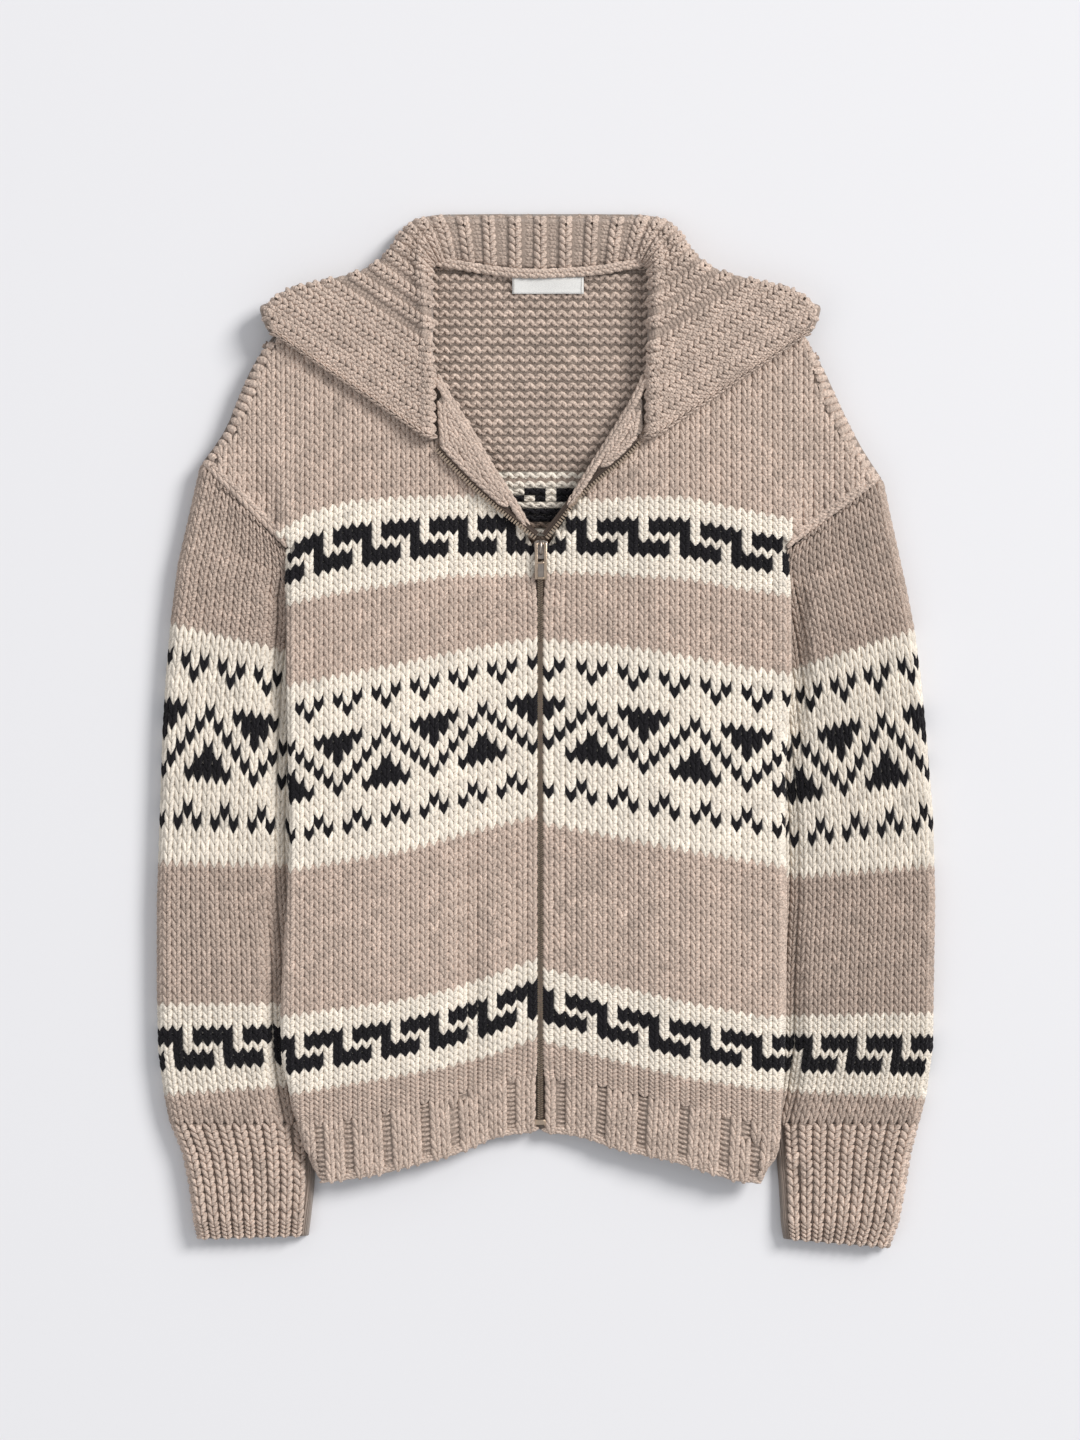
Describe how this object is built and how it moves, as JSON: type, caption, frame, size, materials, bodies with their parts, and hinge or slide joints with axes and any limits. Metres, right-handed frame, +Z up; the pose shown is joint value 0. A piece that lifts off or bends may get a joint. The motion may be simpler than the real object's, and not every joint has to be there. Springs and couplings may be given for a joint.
{
  "type": "fair isle cardigan, laid flat",
  "caption": "Chunky knitted zip cardigan laid flat, with a wide ribbed collar, open neck, long sleeves, ribbed cuffs and hem, and a hinged zip pull.",
  "frame": {"origin": "centre of the bounding box, on the surface the garment lies on", "axes": "+Y from hem to neck, +Z up out of the surface, the front of the garment faces up"},
  "size_m": [0.545, 0.7256, 0.0272],
  "materials": {
    "wool": "chunky heathered wool in beige, cream and black",
    "rib_wool": "ribbed heathered wool",
    "zip_tape": "woven zip tape",
    "zip_metal": "antique nickel",
    "label": "woven satin, bare"
  },
  "bodies": {
    "garment": {"back": "wool", "front_left": "wool", "front_right": "wool", "sleeve_left": "wool", "sleeve_right": "wool", "facing_left": "wool", "facing_right": "wool", "hem_back": "rib_wool", "hem_left": "rib_wool", "hem_right": "rib_wool", "cuff_left": "rib_wool", "cuff_right": "rib_wool", "collar": "rib_wool", "zip_tape": "zip_tape", "zip_tape_left": "zip_tape", "zip_tape_right": "zip_tape", "zip_chain": "zip_metal", "zip_teeth_left": "zip_metal", "zip_teeth_right": "zip_metal", "zip_stop": "zip_metal", "zip_slider": "zip_metal", "label": "label"},
    "pull": {"zip_pull": "zip_metal"}
  },
  "joints": [
    {"name": "pull_hinge", "type": "hinge", "parent": "garment", "child": "pull", "pos_m": [-0.0036, 0.1302, 0.0162], "axis": [-1, 0, 0], "range_deg": [0, 155]}
  ]
}
